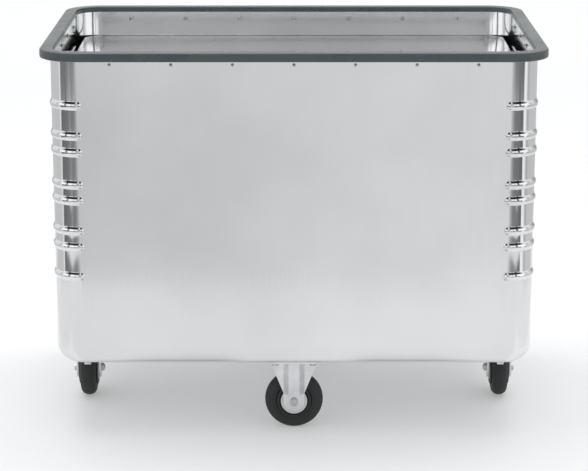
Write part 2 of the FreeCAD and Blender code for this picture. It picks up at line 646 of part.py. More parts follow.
def pedal_pin():
    half = CHEEK_IN + CHEEK_T
    shank = rod(PEDAL_PIN_R, 2 * half, V(-half, PEDAL_Y, PEDAL_Z), X_AXIS)
    heads = [rod(PEDAL_PIN_R + PEDAL_PIN_HEAD, PEDAL_PIN_HEAD, V(x, PEDAL_Y, PEDAL_Z), X_AXIS)
             for x in (half, -half - PEDAL_PIN_HEAD)]
    return union([shank] + heads).translate(V(SWIVEL_X, 0, 0))


def make_castors(outer_box):
    for name, side in (("front", -1), ("rear", 1)):
        centre = V(0, side * FIXED_Y, WHEEL_R)
        export(f"{name}_fork", fixed_fork(side))
        export(f"{name}_axle", axle(centre, V(0, side, 0)))
        export(f"{name}_mounting_plate", seat(outer_box, 0, side * FIXED_Y, FIXED_SEAT))
        export_wheel(name, centre, Y_AXIS)
    pieces = {"swivel_plate": swivel_plate(), "kingpin": kingpin(), "swivel_fork": swivel_fork(),
              "ball_race": ball_race(), "brake_pedal": brake_pedal(), "pedal_pin": pedal_pin(),
              "axle": axle(V(SWIVEL_X, -TRAIL, WHEEL_R), X_AXIS),
              "mounting_plate": seat(outer_box, SWIVEL_X + SWIVEL_SEAT_SHIFT, 0, SWIVEL_SEAT)}
    for name, place in (("right", lambda s: s), ("left", mirror_x)):
        for piece, shape in pieces.items():
            export(f"{name}_{piece}", place(shape))
        sign = 1 if name == "right" else -1
        export_wheel(name, V(sign * SWIVEL_X, -TRAIL, WHEEL_R), X_AXIS)


def export_wheel(name, centre, axis):
    for piece, shape in zip(("tyre", "wheel_rim", "wheel_bush"), wheel(centre, axis)):
        export(f"{name}_{piece}", shape)


def make_bolts():
    bolts = []
    nuts = []
    floor_top = BOX_BOTTOM + WALL
    for x, y, nutted in bolt_places():
        head_z = PLATE_TOP - PLATE_T
        top = floor_top + NUT_T + BOLT_TAIL if nutted else PLATE_TOP + SEAT_T + WALL / 2
        head = hexagon(BOLT_HEX, BOLT_HEAD_T, V(x, y, head_z), V(0, 0, -1))
        bolts.append(head.fuse(rod(BOLT_R, top - head_z, V(x, y, head_z))))
        if nutted:
            nuts.append(hexagon(BOLT_HEX, NUT_T, V(x, y, floor_top)).cut(rod(BOLT_R, CUT, V(x, y, 0))))
    export("castor_bolts", *bolts)
    export("castor_nuts", *nuts)


os.makedirs("parts", exist_ok=True)
box_outside = make_box()
make_rim()
make_end_fittings()
make_platform()
make_castors(box_outside)
make_bolts()
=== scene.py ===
"""Looks of the spring-base box trolley: smooth panels, bumper, deck, springs, castors, studio."""

import json
import math

import bmesh
import bpy
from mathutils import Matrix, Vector


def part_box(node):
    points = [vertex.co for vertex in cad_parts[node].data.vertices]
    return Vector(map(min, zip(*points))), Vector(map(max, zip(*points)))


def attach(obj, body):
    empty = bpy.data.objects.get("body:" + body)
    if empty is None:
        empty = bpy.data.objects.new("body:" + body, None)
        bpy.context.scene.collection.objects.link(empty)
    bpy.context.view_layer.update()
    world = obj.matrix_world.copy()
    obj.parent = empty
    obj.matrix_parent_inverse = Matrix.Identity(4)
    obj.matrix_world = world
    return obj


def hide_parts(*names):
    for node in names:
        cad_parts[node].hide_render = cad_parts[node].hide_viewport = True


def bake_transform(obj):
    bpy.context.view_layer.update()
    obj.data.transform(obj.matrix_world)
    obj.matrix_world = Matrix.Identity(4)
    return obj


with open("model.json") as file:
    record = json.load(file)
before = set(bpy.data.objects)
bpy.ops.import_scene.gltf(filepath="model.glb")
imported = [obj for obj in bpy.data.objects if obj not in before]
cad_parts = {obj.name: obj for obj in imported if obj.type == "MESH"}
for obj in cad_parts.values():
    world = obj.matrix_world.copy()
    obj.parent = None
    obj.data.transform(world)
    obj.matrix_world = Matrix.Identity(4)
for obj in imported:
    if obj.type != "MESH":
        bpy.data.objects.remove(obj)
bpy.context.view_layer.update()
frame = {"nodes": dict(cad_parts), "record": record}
MM = 0.001

# ---- sizes read from the frame ------------------------------------------------------------
RIM_LOW, RIM_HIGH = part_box("bumper_rim")
PANEL_LOW, PANEL_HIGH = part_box("front_panel")
FLOOR_LOW, FLOOR_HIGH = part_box("floor_pan")
DECK_LOW, DECK_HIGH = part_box("platform_deck")
RETAINER_LOW, RETAINER_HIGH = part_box("bumper_retainer")

WALL = FLOOR_HIGH.z - FLOOR_LOW.z
HALF_X = RETAINER_HIGH.x + WALL             # outside of the end walls
HALF_Y = -PANEL_LOW.y                       # outside of the long walls
SEAM_X = PANEL_HIGH.x
BOX_LOW = PANEL_LOW.z
WALL_TOP = PANEL_HIGH.z
RIM_TOP = RIM_HIGH.z
OVERHANG = RIM_HIGH.x - HALF_X
END_BOTTOM_R = HALF_X - FLOOR_HIGH.x
SIDE_BOTTOM_R = HALF_Y - FLOOR_HIGH.y

# ---- sizes of the looks: box --------------------------------------------------------------
CORNER_R = 58 * MM
BEAD_Z = [z * MM for z in (350, 414, 449, 514, 548, 617, 652, 716)]
BEAD_RISE = 3.5 * MM
BEAD_CHORD = 9 * MM
BEAD_FILLET = 2.5 * MM
BEAD_R = (BEAD_CHORD ** 2 + BEAD_RISE ** 2) / (2 * BEAD_RISE)
BEAD_SINK = BEAD_R - BEAD_RISE
BEAD_HALF = math.sqrt((BEAD_R + BEAD_FILLET) ** 2 - (BEAD_FILLET + BEAD_SINK) ** 2)
BEAD_TANGENT = BEAD_HALF * BEAD_R / (BEAD_R + BEAD_FILLET)
BEAD_END_X = 450 * MM
BEAD_STEPS = 12
FILLET_STEPS = 4
ARC_STEPS = 28
BOTTOM_STEPS = 10           # rows round the bottom edge of the end walls and of the long walls
SIDE_STEPS = 5
SEAM_STEPS = 18             # columns from the seam to the corner
END_STEPS = 6               # columns from the corner to the middle of an end
PANEL_COLUMNS = 16
PANEL_ROWS = 12
ROW_GAP = 0.01 * MM         # rows closer than this are one row
WELD_GAP = 0.001 * MM
SHEET_CREASE = 50.0         # degrees

# ---- sizes of the looks: rim --------------------------------------------------------------
LIP_CHAMFER = 1.5 * MM
LIP_LOW_R = 3.5 * MM
LIP_TOP_R = 4 * MM
LIP_INNER = 2.5 * MM        # how far the inner lip stands off the wall
LIP_INNER_R = 2 * MM
LIP_FOOT_R = 1 * MM
LIP_DEPTH = 12 * MM
RETAINER_SHEET = 0.6 * MM
# Half outlines of a rivet's two ends, as (along the rivet, radius) in mm.
RIVET_HEAD = [(1.6, 0.0), (0.9, 0.8), (0.9, 1.2), (1.6, 1.4), (1.1, 2.9), (0.3, 3.5), (-0.1, 3.5)]
RIVET_TAIL = [(0.2, 5.2), (-0.7, 5.2), (-2.0, 4.8), (-3.1, 3.9), (-3.9, 2.6), (-4.2, 1.2), (-4.2, 0.0)]
RIVET_GRIP = WALL + 1 * MM
RIVET_SEGMENTS = 24
LONG_RIVETS = 7
END_RIVETS = 4

# ---- sizes of the looks: platform and springs ---------------------------------------------
DECK_CORNER_R = 40 * MM
DECK_SHEET = 2.5 * MM
DECK_EDGE_R = 0.3 * MM
DECK_GAP = 3.0 * MM         # how much narrower than the CAD the deck is drawn at each long wall
SPRING_Y = [y * MM for y in (-220, -100, 100, 220)]
SPRING_HEAD = 14 * MM       # room for the hooks above and below a coil
SPRING_FOOT = 16 * MM
WIRE_R = 1.15 * MM
COIL_PITCH = 2.6 * MM
COIL_SIDES = 14
HOOK_R = 4 * MM
HOOK_STEM = 7 * MM
HOOK_SINK = 2 * MM
HOOK_RISE = 0.8 * MM
HOOK_ARC = 300.0            # degrees
HOOK_STEPS = 16

# ---- sizes of the looks: castors ----------------------------------------------------------
TYRE_SHOULDER = 46 * MM
TYRE_SEGMENTS = 128
CROWN_POWER = 2.2
CROWN_STEPS = 24
SIDEWALL_R = 44 * MM
SIDEWALL_DISH = 1.2 * MM
TYRE_FOOT = 1.5 * MM        # the bevel where the tyre meets its rim
TYRE_FOOT_DISH = 0.6 * MM
BUSH_BORE = 5.06 * MM
BUSH_SLEEVE = 9 * MM
BUSH_SEGMENTS = 64
GUARD_T = 1.6 * MM
# Rounded edge of a guard as (in from the face, in from the radius), then its face as
# (in from the face, radius), dished between the flange and the hub.
GUARD_EDGE = ((GUARD_T, 0.4 * MM), (0.9 * MM, 0.0), (0.3 * MM, 0.5 * MM))
GUARD_FACE = ((0.0, 24 * MM), (0.5 * MM, 14 * MM), (0.0, 12 * MM), (0.0, BUSH_BORE))
RIM_CHAMFER = 0.8 * MM
CHAMFER = 0.6 * MM
CREASE = 30.0               # degrees
FORK_CREASE = 17.0
MERGE_ANGLE = 0.5


# ---- mesh helpers -------------------------------------------------------------------------
def mesh_object(name, verts, faces):
    mesh = bpy.data.meshes.new(name)
    mesh.from_pydata([tuple(v) for v in verts], [], faces)
    mesh.update()
    obj = bpy.data.objects.new(name, mesh)
    bpy.context.scene.collection.objects.link(obj)
    return obj


def finish_mesh(obj, sharp_deg=35.0):
    """Merge doubles, point the normals outwards and shade smooth up to a crease angle."""
    bm = bmesh.new()
    bm.from_mesh(obj.data)
    bmesh.ops.remove_doubles(bm, verts=bm.verts, dist=WELD_GAP)
    bmesh.ops.recalc_face_normals(bm, faces=bm.faces)
    limit = math.radians(sharp_deg)
    for face in bm.faces:
        face.smooth = True
    for edge in bm.edges:
        edge.smooth = len(edge.link_faces) == 2 and edge.calc_face_angle(0.0) < limit
    bm.to_mesh(obj.data)
    bm.free()
    obj.data.update()
    return obj


def grid_faces(rows, cols, close_rows=False, close_cols=False):
    """Quads of a rows x cols grid of vertices, row by row."""
    faces = []
    for r in range(rows if close_rows else rows - 1):
        for c in range(cols if close_cols else cols - 1):
            r2 = (r + 1) % rows
            c2 = (c + 1) % cols
            faces.append((r * cols + c, r * cols + c2, r2 * cols + c2, r2 * cols + c))
    return faces


def rounded_plan(half_x, half_y, radius, steps=ARC_STEPS):
    """Closed plan outline of a rounded rectangle: (point, outward normal) pairs, counter-clockwise."""
    outline = []
    corners = ((1, -1, -90), (1, 1, 0), (-1, 1, 90), (-1, -1, 180))
    for sx, sy, start in corners:
        centre = Vector((sx * (half_x - radius), sy * (half_y - radius)))
        for i in range(steps + 1):
            a = math.radians(start + 90 * i / steps)
            normal = Vector((math.cos(a), math.sin(a)))
            outline.append((centre + normal * radius, normal))
    return outline


def ring_sweep(name, half_x, half_y, radius, profile):
    """Closed ring round a rounded rectangle; profile is a closed list of (outward offset, height)."""
    outline = rounded_plan(half_x, half_y, radius)
    verts = []
    for point, normal in outline:
        for out, z in profile:
            p = point + normal * out
            verts.append((p.x, p.y, z))
    faces = grid_faces(len(outline), len(profile), True, True)
    return finish_mesh(mesh_object(name, verts, faces))


def arc_points(cx, cy, radius, start, end, steps=6):
    """Points of an arc from start to end degrees."""
    points = []
    for i in range(steps + 1):
        a = math.radians(start + (end - start) * i / steps)
        points.append((cx + radius * math.cos(a), cy + radius * math.sin(a)))
    return points


def revolved(name, profile, centre, axis, segments=96, closed=True):
    """Solid of revolution from a list of (along the axis, radius) points."""
    axis = Vector(axis).normalized()
    side = axis.orthogonal().normalized()
    third = axis.cross(side)
    verts = []
    for i in range(segments):
        a = 2 * math.pi * i / segments
        out = side * math.cos(a) + third * math.sin(a)
        verts += [Vector(centre) + axis * along + out * r for along, r in profile]
    faces = grid_faces(segments, len(profile), True, closed)
    return finish_mesh(mesh_object(name, verts, faces))


def joined(name, parts):
    """One object from several."""
    bm = bmesh.new()
    for part in parts:
        bm.from_mesh(part.data)
        bpy.data.objects.remove(part)
    mesh = bpy.data.meshes.new(name)
    bm.to_mesh(mesh)
    bm.free()
    obj = bpy.data.objects.new(name, mesh)
    bpy.context.scene.collection.objects.link(obj)
    return obj


def refined(node, width=CHAMFER, sharp_deg=CREASE):
    """Piece built from a CAD node's faces: flat areas merged, edges rounded over, smooth normals."""
    obj = bpy.data.objects.new(node + "_piece", frame["nodes"][node].data.copy())
    bpy.context.scene.collection.objects.link(obj)
    obj.data.materials.clear()
    bm = bmesh.new()
    bm.from_mesh(obj.data)
    bmesh.ops.remove_doubles(bm, verts=bm.verts, dist=WELD_GAP)
    bmesh.ops.dissolve_limit(bm, angle_limit=math.radians(MERGE_ANGLE), verts=bm.verts, edges=bm.edges)
    limit = math.radians(sharp_deg)
    for face in bm.faces:
        face.smooth = True
    for edge in bm.edges:
        edge.smooth = not (len(edge.link_faces) == 2 and edge.calc_face_angle(0.0) > limit)
    bm.to_mesh(obj.data)
    bm.free()
    for attribute in ("custom_normal", "sharp_face"):
        if attribute in obj.data.attributes:
            obj.data.attributes.remove(obj.data.attributes[attribute])
    bevel = obj.modifiers.new("edges", "BEVEL")
    bevel.width = width
    bevel.segments = 2
    bevel.limit_method = "ANGLE"
    bevel.angle_limit = limit
    bevel.use_clamp_overlap = True
    bevel.harden_normals = True
    return obj


def settle(obj, body, node, slot):
    """Put a piece on its body in place of its CAD node, with the finish of its slot."""
    obj.data.materials.clear()
    obj.data.materials.append(MATERIALS[slot])
    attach(obj, body)
    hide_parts(node)
    return obj


# ---- material helpers ---------------------------------------------------------------------
class Shader:
    """Small wrapper for building one node material."""

    def __init__(self, name):
        self.material = bpy.data.materials.new(name)
        self.material.use_nodes = True
        self.tree = self.material.node_tree
        self.bsdf = self.tree.nodes["Principled BSDF"]

    def node(self, kind, **inputs):
        made = self.tree.nodes.new(kind)
        for key, value in inputs.items():
            made.inputs[key.replace("_", " ")].default_value = value
        return made

    def link(self, source, target):
        self.tree.links.new(source, target)

    def coords(self, stretch=(1, 1, 1)):
        """Object coordinates in metres, stretched along the axes."""
        place = self.node("ShaderNodeTexCoord")
        scale = self.node("ShaderNodeMapping")
        scale.inputs["Scale"].default_value = stretch
        self.link(place.outputs["Object"], scale.inputs["Vector"])
        return scale.outputs["Vector"]

    def noise(self, scale, detail=3.0, stretch=(1, 1, 1), rough=0.5):
        made = self.node("ShaderNodeTexNoise", Scale=scale, Detail=detail, Roughness=rough)
        self.link(self.coords(stretch), made.inputs["Vector"])
        return made.outputs["Fac"]

    def remap(self, source, low, high, start=0.35, end=0.65):
        made = self.node("ShaderNodeMapRange")
        made.inputs["From Min"].default_value = start
        made.inputs["From Max"].default_value = end
        made.inputs["To Min"].default_value = low
        made.inputs["To Max"].default_value = high
        self.link(source, made.inputs["Value"])
        return made.outputs["Result"]

    def tint(self, source, dark, light, start=0.35, end=0.65):
        """Colour between two tones, led by a value."""
        ramp = self.node("ShaderNodeValToRGB")
        ramp.color_ramp.elements[0].position = start
        ramp.color_ramp.elements[0].color = (*dark, 1)
        ramp.color_ramp.elements[1].position = end
        ramp.color_ramp.elements[1].color = (*light, 1)
        self.link(source, ramp.inputs["Fac"])
        return ramp.outputs["Color"]

    def bumps(self, layers):
        """Stack (height, strength, distance) layers into the shader's normal."""
        normal = None
        for height, strength, distance in layers:
            bump = self.node("ShaderNodeBump", Strength=strength, Distance=distance)
            self.link(height, bump.inputs["Height"])
            if normal is not None:
                self.link(normal, bump.inputs["Normal"])
            normal = bump.outputs["Normal"]
        self.link(normal, self.bsdf.inputs["Normal"])


CLOUD_DETAIL = 4.0
GRAIN_DETAIL = 2.0
GRAIN_DEPTH = 0.5 * MM
CLOUD_SHARE = 0.5           # of the roughness; the grain leads the rest
GRAIN_SHARE = 0.5
WAVE_SCALE = 1.7
WAVE_DETAIL = 1.0
WAVE_STRETCH = (1, 1, 0.8)
WAVE_DEPTH = 10 * MM
SCUFF_SCALE = 14.0
SCUFF_DETAIL = 5.0
SCUFF_SPREAD = 0.06
SCUFF_BUMP = 0.05
SCUFF_DEPTH = 1 * MM
PORE_DEPTH = 0.4 * MM


def metal(slot, dark, light, rough, grain, grain_scale, grain_bump, cloud_scale, waviness=0.0):
    """Bare metal: cloudy tone and roughness, fine directional grain, and slow waves of thin sheet."""
    s = Shader(slot + "_finish")
    cloud = s.noise(cloud_scale, CLOUD_DETAIL)
    streak = s.noise(grain_scale, GRAIN_DETAIL, grain)
    s.link(s.tint(cloud, dark, light), s.bsdf.inputs["Base Color"])
    blend = s.node("ShaderNodeMath")
    blend.operation = "MULTIPLY_ADD"
    blend.inputs[1].default_value = GRAIN_SHARE
    s.link(streak, blend.inputs[0])
    clouds = s.node("ShaderNodeMath")
    clouds.operation = "MULTIPLY"
    clouds.inputs[1].default_value = CLOUD_SHARE
    s.link(cloud, clouds.inputs[0])
    s.link(clouds.outputs[0], blend.inputs[2])
    s.link(s.remap(blend.outputs[0], *rough), s.bsdf.inputs["Roughness"])
    s.bsdf.inputs["Metallic"].default_value = 1.0
    layers = [(streak, grain_bump, GRAIN_DEPTH)]
    if waviness:
        layers.append((s.noise(WAVE_SCALE, WAVE_DETAIL, WAVE_STRETCH), waviness, WAVE_DEPTH))
    s.bumps(layers)
    return s.material


def plastic(slot, dark, light, roughness, grain_scale, grain_bump):
    """Moulded plastic or rubber: slight tone change, fine grain and scuffed roughness."""
    s = Shader(slot + "_finish")
    cloud = s.noise(SCUFF_SCALE, SCUFF_DETAIL)
    grain = s.noise(grain_scale, GRAIN_DETAIL)
    s.link(s.tint(cloud, dark, light), s.bsdf.inputs["Base Color"])
    rough = s.remap(cloud, roughness - SCUFF_SPREAD, roughness + SCUFF_SPREAD)
    s.link(rough, s.bsdf.inputs["Roughness"])
    s.bumps([(grain, grain_bump, PORE_DEPTH), (cloud, SCUFF_BUMP, SCUFF_DEPTH)])
    return s.material


# ---- materials ----------------------------------------------------------------------------
def box_aluminium():
    """Bright sheet with upright grain, slightly wavy."""
    return metal("box_aluminium", dark=(0.78, 0.79, 0.80), light=(0.91, 0.915, 0.92), rough=(0.09, 0.15),
                 grain=(1, 1, 0.02), grain_scale=700.0, grain_bump=0.02, cloud_scale=2.2, waviness=0.012)


def deck_aluminium():
    """Near-mirror sheet with grain along the trolley."""
    return metal("deck_aluminium", dark=(0.86, 0.865, 0.87), light=(0.93, 0.935, 0.94), rough=(0.03, 0.06),
                 grain=(0.02, 1, 1), grain_scale=700.0, grain_bump=0.02, cloud_scale=2.5, waviness=0.004)


def profile_aluminium():
    """Duller extruded and plate aluminium."""
    return metal("profile_aluminium", dark=(0.66, 0.67, 0.68), light=(0.76, 0.77, 0.78), rough=(0.28, 0.40),
                 grain=(1, 1, 0.05), grain_scale=500.0, grain_bump=0.08, cloud_scale=8.0)


def rivet_aluminium():
    """Smooth aluminium of the rivets; its darker tone is painted shade on their domes."""
    return metal("rivet_aluminium", dark=(0.40, 0.41, 0.42), light=(0.52, 0.53, 0.54), rough=(0.08, 0.14),
                 grain=(1, 1, 1), grain_scale=400.0, grain_bump=0.03, cloud_scale=60.0)


def zinc_plated_steel():
    """Bright plated steel of the castors and hangers."""
    return metal("zinc_plated_steel", dark=(0.74, 0.75, 0.77), light=(0.86, 0.87, 0.89), rough=(0.17, 0.28),
                 grain=(1, 1, 1), grain_scale=260.0, grain_bump=0.04, cloud_scale=30.0)


def fastener_steel():
    """Greyer steel of bolts, nuts, pins and axles."""
    return metal("fastener_steel", dark=(0.50, 0.51, 0.52), light=(0.66, 0.67, 0.68), rough=(0.26, 0.42),
                 grain=(1, 1, 1), grain_scale=300.0, grain_bump=0.06, cloud_scale=90.0)


def spring_steel():
    """Dark wire of the springs."""
    return metal("spring_steel", dark=(0.36, 0.37, 0.38), light=(0.50, 0.51, 0.52), rough=(0.30, 0.42),
                 grain=(1, 1, 1), grain_scale=300.0, grain_bump=0.05, cloud_scale=60.0)


def bumper_plastic():
    """Dark blue-grey plastic with a slight sheen."""
    return plastic("bumper_plastic", dark=(0.048, 0.062, 0.067), light=(0.060, 0.075, 0.080),
                   roughness=0.28, grain_scale=1500.0, grain_bump=0.05)


def tyre_rubber():
    """Near-black matt rubber."""
    return plastic("tyre_rubber", dark=(0.012, 0.015, 0.015), light=(0.020, 0.024, 0.024),
                   roughness=0.62, grain_scale=1100.0, grain_bump=0.22)


def wheel_plastic():
    """Black plastic of the wheel rims."""
    return plastic("wheel_plastic", dark=(0.006, 0.007, 0.007), light=(0.010, 0.011, 0.011),
                   roughness=0.42, grain_scale=900.0, grain_bump=0.10)


def bush_nylon():
    """Pale grey nylon of the wheel bushes."""
    return plastic("bush_nylon", dark=(0.52, 0.53, 0.53), light=(0.60, 0.61, 0.61),
                   roughness=0.38, grain_scale=700.0, grain_bump=0.05)


def shoe_plastic():
    """Black plastic of the guide shoes."""
    return plastic("shoe_plastic", dark=(0.020, 0.020, 0.021), light=(0.030, 0.030, 0.031),
                   roughness=0.40, grain_scale=900.0, grain_bump=0.08)


def buffer_rubber():
    """Black rubber of the stops and buffers."""
    return plastic("buffer_rubber", dark=(0.016, 0.016, 0.016), light=(0.026, 0.026, 0.026),
                   roughness=0.65, grain_scale=900.0, grain_bump=0.20)


MATERIALS = {
    "box_aluminium": box_aluminium(),
    "deck_aluminium": deck_aluminium(),
    "profile_aluminium": profile_aluminium(),
    "rivet_aluminium": rivet_aluminium(),
    "zinc_plated_steel": zinc_plated_steel(),
    "fastener_steel": fastener_steel(),
    "spring_steel": spring_steel(),
    "bumper_plastic": bumper_plastic(),
    "tyre_rubber": tyre_rubber(),
    "wheel_plastic": wheel_plastic(),
    "bush_nylon": bush_nylon(),
    "shoe_plastic": shoe_plastic(),
    "buffer_rubber": buffer_rubber(),
}


# ---- box panels ---------------------------------------------------------------------------
def rounded_rows(radius, steps):
    """Heights of the rows round a bottom edge of this radius."""
    return [BOX_LOW + radius * (1 - math.cos(math.radians(90 * i / steps))) for i in range(steps + 1)]


def heights():
    """Rows of the panels: the rounded bottom, the flats and the beads."""
    rows = rounded_rows(END_BOTTOM_R, BOTTOM_STEPS) + rounded_rows(SIDE_BOTTOM_R, SIDE_STEPS)
    for z in BEAD_Z:
        rows += bead_rows(z)
    rows.append(WALL_TOP)
    rows.sort()
    kept = [rows[0]]
    for z in rows[1:]:
        if z - kept[-1] > ROW_GAP:
            kept.append(z)
    return kept


def pulled_in(radius, z):
    """How far a wall stands inside its full width at height z, above a rounded bottom edge."""
    rise = min(max(z - BOX_LOW, 0.0), radius)
    return radius - math.sqrt(max(radius ** 2 - (radius - rise) ** 2, 0.0))


def leaning(radius, z):
    """Angle by which the sheet leans outwards at height z, on a rounded bottom edge."""
    return math.asin(min(max((radius - (z - BOX_LOW)) / radius, 0.0), 1.0))


def bead_rows(z):
    """Heights of the rows across one bead, closer together round its fillets."""
    half = [BEAD_TANGENT * math.sin(math.pi / 2 * i / BEAD_STEPS) for i in range(BEAD_STEPS + 1)]
    fillet = BEAD_HALF - BEAD_TANGENT
    half += [BEAD_TANGENT + fillet * i / FILLET_STEPS for i in range(1, FILLET_STEPS + 1)]
    return [z + s for s in half] + [z - s for s in half]


def bead_profile(away):
    """Rise of a bead at a distance from its middle line: a round crest with a fillet on each side."""
    if away >= BEAD_HALF:
        return 0.0
    if away > BEAD_TANGENT:
        return BEAD_FILLET - math.sqrt(BEAD_FILLET ** 2 - (BEAD_HALF - away) ** 2)
    return math.sqrt(BEAD_R ** 2 - away ** 2) - BEAD_SINK


def bead_height(z, before_end):
    """Rise of the beads at height z; before_end is how far the point lies outside a bead's straight run."""
    return max(bead_profile(math.hypot(z - centre, before_end)) for centre in BEAD_Z)


def end_plan(z):
    """Plan of the +X end panel at height z, front to back: (point, normal, distance short of the beads)."""
    half_x = HALF_X - pulled_in(END_BOTTOM_R, z)
    half_y = HALF_Y - pulled_in(SIDE_BOTTOM_R, z)
    centre = Vector((HALF_X - CORNER_R, CORNER_R - HALF_Y))
    reach = Vector((half_x - centre.x, half_y + centre.y))
    outline = []
    for i in range(SEAM_STEPS + 1):
        x = SEAM_X + (centre.x - SEAM_X) * i / SEAM_STEPS
        outline.append((Vector((x, -half_y)), Vector((0, -1)), max(BEAD_END_X - x, 0.0)))
    for i in range(1, ARC_STEPS + 1):
        a = math.radians(-90 + 90 * i / ARC_STEPS)
        place = centre + Vector((reach.x * math.cos(a), reach.y * math.sin(a)))
        normal = Vector((math.cos(a) / reach.x, math.sin(a) / reach.y)).normalized()
        outline.append((place, normal, 0.0))
    for i in range(1, END_STEPS):
        y = centre.y * (1 - i / END_STEPS)
        outline.append((Vector((half_x, y)), Vector((1, 0)), 0.0))
    back = [(Vector((p.x, -p.y)), Vector((n.x, -n.y)), short) for p, n, short in reversed(outline)]
    middle = [(Vector((half_x, 0)), Vector((1, 0)), 0.0)]
    return outline + middle + back


def sheet_from_rows(name, outer, inner):
    """Closed sheet from two grids of points of the same size."""
    rows, cols = len(outer), len(outer[0])
    verts = [p for row in outer for p in row] + [p for row in inner for p in row]
    shift = rows * cols
    faces = grid_faces(rows, cols)
    faces += [tuple(reversed([i + shift for i in f])) for f in grid_faces(rows, cols)]
    for c in range(cols - 1):
        for r in (0, rows - 1):
            here = r * cols + c
            faces.append((here, here + 1, shift + here + 1, shift + here))
    for r in range(rows - 1):
        for c in (0, cols - 1):
            here, above = r * cols + c, (r + 1) * cols + c
            faces.append((here, above, shift + above, shift + here))
    return finish_mesh(mesh_object(name, verts, faces), SHEET_CREASE)


def end_panel(side):
    """U-shaped end panel with its corners and beads; side is 1 for the +X end and -1 for the -X end."""
    outer, inner = [], []
    for z in heights():
        row_out, row_in = [], []
        lean = leaning(END_BOTTOM_R, z)
        for p, n, short in end_plan(z):
            rise = bead_height(z, short)
            q = p + n * rise
            row_out.append((side * q.x, q.y, z))
            tilt = lean * max(n.x, 0.0)
            inset = p + n * (rise - WALL * math.cos(tilt))
            row_in.append((side * inset.x, inset.y, z + WALL * math.sin(tilt)))
        outer.append(row_out)
        inner.append(row_in)
    hand = "right" if side > 0 else "left"
    sheet = sheet_from_rows(hand + "_end_skin", outer, inner)
    return settle(sheet, "box", hand + "_end_panel", "box_aluminium")


def long_panel(side):
    """Plain long wall with its rounded bottom edge; side is -1 at the front and 1 at the back."""
    outer, inner = [], []
    columns = [SEAM_X * (2 * i / PANEL_COLUMNS - 1) for i in range(PANEL_COLUMNS + 1)]
    rows = rounded_rows(SIDE_BOTTOM_R, BOTTOM_STEPS)
    rows += [BOX_LOW + (WALL_TOP - BOX_LOW) * i / PANEL_ROWS for i in range(1, PANEL_ROWS + 1)]
    for z in rows:
        y = HALF_Y - pulled_in(SIDE_BOTTOM_R, z)
        lean = leaning(SIDE_BOTTOM_R, z)
        outer.append([(x, side * y, z) for x in columns])
        y_in = y - WALL * math.cos(lean)
        inner.append([(x, side * y_in, z + WALL * math.sin(lean)) for x in columns])
    face = "front" if side < 0 else "back"
    sheet = sheet_from_rows(face + "_skin", outer, inner)
    return settle(sheet, "box", face + "_panel", "box_aluminium")


def floor_skin():
    """Floor pan between the rounded bottom edges."""
    right = [place for place, _, _ in end_plan(BOX_LOW)]
    outline = right + [-place for place in right]
    count = len(outline)
    verts = [(p.x, p.y, FLOOR_LOW.z) for p in outline] + [(p.x, p.y, FLOOR_HIGH.z) for p in outline]
    faces = [tuple(range(count)), tuple(range(count, 2 * count))]
    faces += [(i, (i + 1) % count, count + (i + 1) % count, count + i) for i in range(count)]
    obj = finish_mesh(mesh_object("floor_skin", verts, faces))
    return settle(obj, "box", "floor_pan", "box_aluminium")


# ---- bumper, retainer, rivets -------------------------------------------------------------
def bumper():
    """Moulded rim: deep outer lip, flat top, short inner lip and the slot for the wall."""
    low = RIM_LOW.z
    inner = -(WALL + LIP_INNER)
    profile = [(0.0, low + LIP_CHAMFER), (LIP_CHAMFER, low)]
    profile += arc_points(OVERHANG - LIP_LOW_R, low + LIP_LOW_R, LIP_LOW_R, -90, 0)
    profile += arc_points(OVERHANG - LIP_TOP_R, RIM_TOP - LIP_TOP_R, LIP_TOP_R, 0, 90)
    profile += arc_points(inner + LIP_INNER_R, RIM_TOP - LIP_INNER_R, LIP_INNER_R, 90, 180)
    profile += arc_points(inner + LIP_FOOT_R, RIM_TOP - LIP_DEPTH + LIP_FOOT_R, LIP_FOOT_R, 180, 270, 3)
    profile += [(-WALL, RIM_TOP - LIP_DEPTH), (-WALL, WALL_TOP), (0.0, WALL_TOP)]
    obj = ring_sweep("bumper_ring", HALF_X, HALF_Y, CORNER_R, profile)
    return settle(obj, "box", "bumper_rim", "bumper_plastic")


def retainer():
    """Thin strip inside the wall that the rivets clamp under the bumper."""
    out, into = -WALL, -(WALL + RETAINER_SHEET)
    low, high = RETAINER_LOW.z, RETAINER_HIGH.z
    profile = [(out, low), (out, high), (into, high), (into, low)]
    obj = ring_sweep("retainer_strip", HALF_X, HALF_Y, CORNER_R, profile)
    return settle(obj, "box", "bumper_retainer", "box_aluminium")


def rivet_shape(place, outward):
    """Blind rivet: low dome with a mandrel hole outside, high dome inside."""
    head = [(along * MM, r * MM) for along, r in RIVET_HEAD]
    tail = [(along * MM - RIVET_GRIP, r * MM) for along, r in RIVET_TAIL]
    return [revolved(name, profile, place, outward, RIVET_SEGMENTS, False)
            for name, profile in (("head", head), ("tail", tail))]


def spread(count, half):
    """Evenly spaced places between -half and half, none of them at an end."""
    return [(i - (count - 1) / 2) * 2 * half / (count + 1) for i in range(count)]


def rivets():
    """Rows of rivets round the rim."""
    low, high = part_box("rim_rivets")
    z = (low.z + high.z) / 2
    parts = []
    for side in (-1, 1):
        for x in spread(LONG_RIVETS, HALF_X):
            parts += rivet_shape((x, side * HALF_Y, z), (0, side, 0))
        for y in spread(END_RIVETS, HALF_Y):
            parts += rivet_shape((side * HALF_X, y, z), (side, 0, 0))
    obj = joined("rim_rivet_set", parts)
    return settle(obj, "box", "rim_rivets", "rivet_aluminium")


